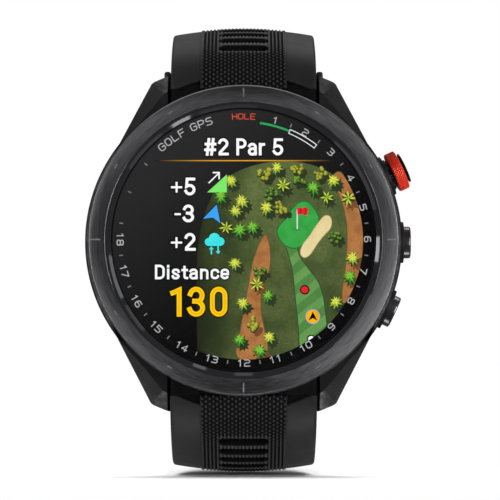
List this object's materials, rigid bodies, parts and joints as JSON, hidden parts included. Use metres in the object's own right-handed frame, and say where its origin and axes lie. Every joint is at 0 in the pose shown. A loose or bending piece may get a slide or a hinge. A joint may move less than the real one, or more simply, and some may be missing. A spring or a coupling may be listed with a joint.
{
  "type": "golf gps watch",
  "caption": "Round golf GPS watch with a course map display, side push buttons with one red knurled ring, and an open rubber strap with a pin buckle and keepers.",
  "frame": {"origin": "centre of the sensor window's outer face on the case back, the face that lies on the wrist", "axes": "+Y is that face's outward normal, towards the wrist, so the dial faces -Y; +Z is 12 o'clock and +X is 3 o'clock"},
  "size_m": [0.049, 0.1166, 0.0696],
  "materials": {
    "case_polymer": "satin black, glass-fibre reinforced",
    "bezel_steel": "dark grey coating, brushed round the dial, polished inner chamfer",
    "seal_rubber": "matte",
    "lens_glass": "clear, flat",
    "display": "black panel that lights up when on",
    "inner_plastic": "matte",
    "screw_steel": "satin",
    "sensor_glass": "dark, polished",
    "circuit_board": "green solder mask",
    "battery_wrap": "silver pouch",
    "shield_metal": "plain",
    "antenna_ceramic": "matte",
    "guard_polymer": "matte black",
    "button_steel": "dark grey coating",
    "spring_steel": "plain",
    "switch_plastic": "matte black",
    "red_metal": "anodised red, knurled",
    "strap_rubber": "matte black silicone",
    "bar_steel": "plain",
    "buckle_steel": "dark grey coating, satin"
  },
  "bodies": {
    "watch_head": {"case_body": "case_polymer", "bezel": "bezel_steel", "bezel_gasket": "seal_rubber", "display_lens": "lens_glass", "display_panel": "display", "display_frame": "inner_plastic", "case_back": "case_polymer", "case_back_seal": "seal_rubber", "case_back_screw_1": "screw_steel", "case_back_screw_2": "screw_steel", "case_back_screw_3": "screw_steel", "case_back_screw_4": "screw_steel", "sensor_window": "sensor_glass", "sensor_module": "circuit_board", "charging_connector": "inner_plastic", "battery": "battery_wrap", "main_board": "circuit_board", "shield_can": "shield_metal", "gps_antenna": "antenna_ceramic", "vibration_motor": "shield_metal", "red_button_guard": "guard_polymer", "middle_button_guard": "guard_polymer", "lower_button_guard": "guard_polymer", "red_button_switch": "switch_plastic", "middle_button_switch": "switch_plastic", "lower_button_switch": "switch_plastic", "red_button_spring": "spring_steel", "middle_button_spring": "spring_steel", "lower_button_spring": "spring_steel"},
    "red_button": {"red_button": "button_steel", "red_button_ring": "red_metal", "red_button_clip": "spring_steel"},
    "middle_button": {"middle_button": "button_steel", "middle_button_clip": "spring_steel"},
    "lower_button": {"lower_button": "button_steel", "lower_button_clip": "spring_steel"},
    "upper_strap": {"upper_strap": "strap_rubber", "upper_lug_bar": "bar_steel", "fixed_keeper": "strap_rubber", "buckle_bar": "bar_steel"},
    "upper_bar_release": {"upper_bar_release": "bar_steel"},
    "lower_strap": {"lower_strap": "strap_rubber", "lower_lug_bar": "bar_steel"},
    "lower_bar_release": {"lower_bar_release": "bar_steel"},
    "free_keeper": {"free_keeper": "strap_rubber"},
    "buckle_frame": {"buckle_frame": "buckle_steel"},
    "buckle_tongue": {"buckle_tongue": "buckle_steel"}
  },
  "joints": [
    {"name": "red_button_press", "type": "slide", "parent": "watch_head", "child": "red_button", "axis": [-0.9063, 0, -0.4226], "range_m": [0, 0.0005], "stiffness_N_per_m": 1000, "springref_m": -0.001, "deforming": ["red_button_spring"]},
    {"name": "middle_button_press", "type": "slide", "parent": "watch_head", "child": "middle_button", "axis": [-1, 0, 0], "range_m": [0, 0.0005], "stiffness_N_per_m": 1000, "springref_m": -0.001, "deforming": ["middle_button_spring"]},
    {"name": "lower_button_press", "type": "slide", "parent": "watch_head", "child": "lower_button", "axis": [-0.9063, 0, 0.4226], "range_m": [0, 0.0005], "stiffness_N_per_m": 1000, "springref_m": -0.001, "deforming": ["lower_button_spring"]},
    {"name": "upper_strap_hinge", "type": "hinge", "parent": "watch_head", "child": "upper_strap", "pos_m": [0, -0.0039, 0.0225], "axis": [-1, 0, 0], "range_deg": [-5, 12]},
    {"name": "lower_strap_hinge", "type": "hinge", "parent": "watch_head", "child": "lower_strap", "pos_m": [0, -0.0039, -0.0225], "axis": [1, 0, 0], "range_deg": [-5, 8]},
    {"name": "upper_bar_release_slide", "type": "slide", "parent": "upper_strap", "child": "upper_bar_release", "axis": [-1, 0, 0], "range_m": [0, 0.0012], "stiffness_N_per_m": 800, "springref_m": -0.001},
    {"name": "lower_bar_release_slide", "type": "slide", "parent": "lower_strap", "child": "lower_bar_release", "axis": [-1, 0, 0], "range_m": [0, 0.0012], "stiffness_N_per_m": 800, "springref_m": -0.001},
    {"name": "free_keeper_slide", "type": "hinge", "parent": "upper_strap", "child": "free_keeper", "pos_m": [0, 0.01178, -0.04909], "axis": [1, 0, 0], "range_deg": [-3.2, 9.5]},
    {"name": "buckle_frame_hinge", "type": "hinge", "parent": "upper_strap", "child": "buckle_frame", "pos_m": [0, 0.06426, 0.01346], "axis": [1, 0, 0], "range_deg": [-20, 95]},
    {"name": "buckle_tongue_hinge", "type": "hinge", "parent": "buckle_frame", "child": "buckle_tongue", "pos_m": [0, 0.06426, 0.01346], "axis": [1, 0, 0], "range_deg": [0, 60]}
  ]
}
